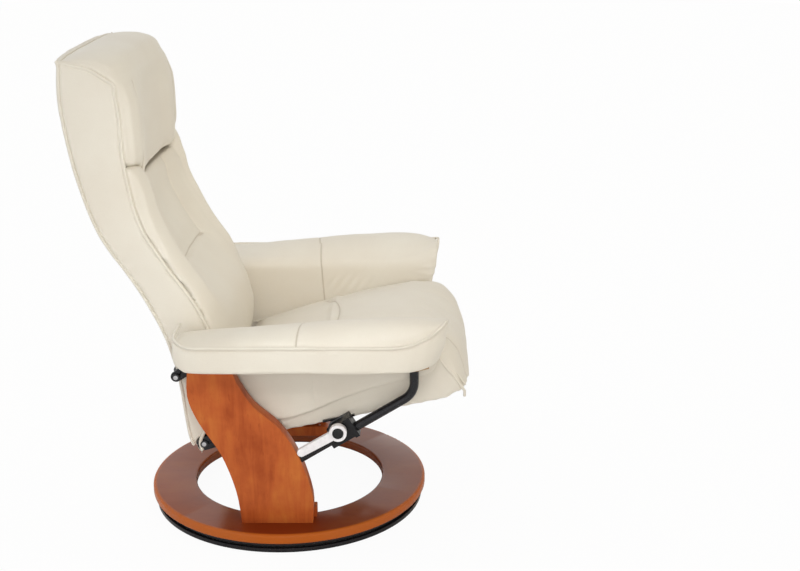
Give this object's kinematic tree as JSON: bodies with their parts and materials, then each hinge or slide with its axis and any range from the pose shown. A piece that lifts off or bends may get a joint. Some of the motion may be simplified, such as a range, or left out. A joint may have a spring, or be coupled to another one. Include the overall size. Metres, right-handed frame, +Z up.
{
  "type": "swivel recliner",
  "caption": "Padded recliner on two S-curved wooden legs and a turning wooden ring; the back tips and the seat glides forward with it on sloping steel rails.",
  "frame": {"origin": "on the floor, on the axis of the swivel", "axes": "+X is the way the sitter faces, +Y is the sitter's left, +Z is up along the swivel axis"},
  "size_m": [0.8228, 0.771, 1.0295],
  "materials": {
    "leather": "smooth cream leather with a soft satin sheen",
    "wood": "laminated wood, orange-brown stain, gloss lacquer",
    "black_steel": "gloss black powder coat",
    "bright_steel": "plated steel",
    "lever": "silver-grey satin paint",
    "plywood": "bare plywood",
    "black_plastic": "matt black moulded plastic",
    "nylon": "natural nylon",
    "cloth": "black woven dust cloth",
    "rubber": "matt rubber"
  },
  "bodies": {
    "base": {"floor_ring": "black_steel", "floor_pads": "rubber"},
    "ball_cage": {"ball_cage": "nylon", "bearing_balls": "bright_steel"},
    "swivel_frame": {"upper_race": "black_steel", "keeper_ring": "black_steel", "ring_screws": "bright_steel", "wood_ring": "wood", "right_leg": "wood", "left_leg": "wood", "right_leg_cleat": "wood", "left_leg_cleat": "wood", "leg_screws": "bright_steel", "stretcher_tube": "black_steel", "stretcher_plates": "black_steel", "stretcher_bolts": "bright_steel", "right_rail": "black_steel", "left_rail": "black_steel", "right_arm_bar": "black_steel", "left_arm_bar": "black_steel", "arm_bar_screws": "bright_steel", "right_arm_board": "plywood", "left_arm_board": "plywood", "right_arm_cushion": "leather", "left_arm_cushion": "leather", "right_side_panel": "leather", "left_side_panel": "leather", "pivot_bolts": "bright_steel"},
    "back": {"back_shell": "leather", "back_cushion": "leather", "head_pillow": "leather", "right_back_board": "plywood", "left_back_board": "plywood", "back_rails": "plywood", "back_springs": "bright_steel", "right_hinge_plate": "black_steel", "left_hinge_plate": "black_steel", "back_link_pins": "bright_steel"},
    "drag_link": {"right_drag_link": "black_steel", "left_drag_link": "black_steel", "link_tie_rod": "black_steel"},
    "seat": {"seat_cushion": "leather", "right_seat_rail": "black_steel", "left_seat_rail": "black_steel", "seat_cross_rails": "black_steel", "seat_springs": "bright_steel", "seat_dust_cover": "cloth", "seat_link_pins": "bright_steel", "right_clamp_block": "black_plastic", "left_clamp_block": "black_plastic", "right_clamp_bracket": "black_steel", "left_clamp_bracket": "black_steel", "clamp_bolts": "bright_steel", "lever_studs": "bright_steel"},
    "right_lever": {"right_lever": "lever", "right_lever_cap": "black_plastic"},
    "left_lever": {"left_lever": "lever", "left_lever_cap": "black_plastic"}
  },
  "joints": [
    {"name": "swivel", "type": "hinge", "parent": "base", "child": "swivel_frame", "pos_m": [0, 0, 0.012], "axis": [0, 0, 1], "continuous": true},
    {"name": "ball_cage_turn", "type": "hinge", "parent": "base", "child": "ball_cage", "pos_m": [0, 0, 0.012], "axis": [0, 0, 1], "continuous": true},
    {"name": "recline", "type": "hinge", "parent": "swivel_frame", "child": "back", "pos_m": [-0.204, 0, 0.377], "axis": [0, -1, 0], "range_deg": [0, 30]},
    {"name": "seat_glide", "type": "slide", "parent": "swivel_frame", "child": "seat", "axis": [0.8526, 0, 0.5225], "range_m": [0, 0.086]},
    {"name": "drag_link_turn", "type": "hinge", "parent": "back", "child": "drag_link", "pos_m": [-0.15685, 0, 0.21784], "axis": [0, -1, 0], "range_deg": [-30, 0]},
    {"name": "right_lever_turn", "type": "hinge", "parent": "seat", "child": "right_lever", "pos_m": [0.12589, -0.281, 0.26422], "axis": [0, 1, 0], "range_deg": [0, 60]},
    {"name": "left_lever_turn", "type": "hinge", "parent": "seat", "child": "left_lever", "pos_m": [0.12589, 0.281, 0.26422], "axis": [0, 1, 0], "range_deg": [0, 60]}
  ],
  "couplings": [
    {"joint": "ball_cage_turn", "follows": "swivel", "ratio": 0.5},
    {"joint": "seat_glide", "follows": "recline", "m_per_rad": 0.16411},
    {"joint": "drag_link_turn", "follows": "recline", "ratio": -1}
  ]
}
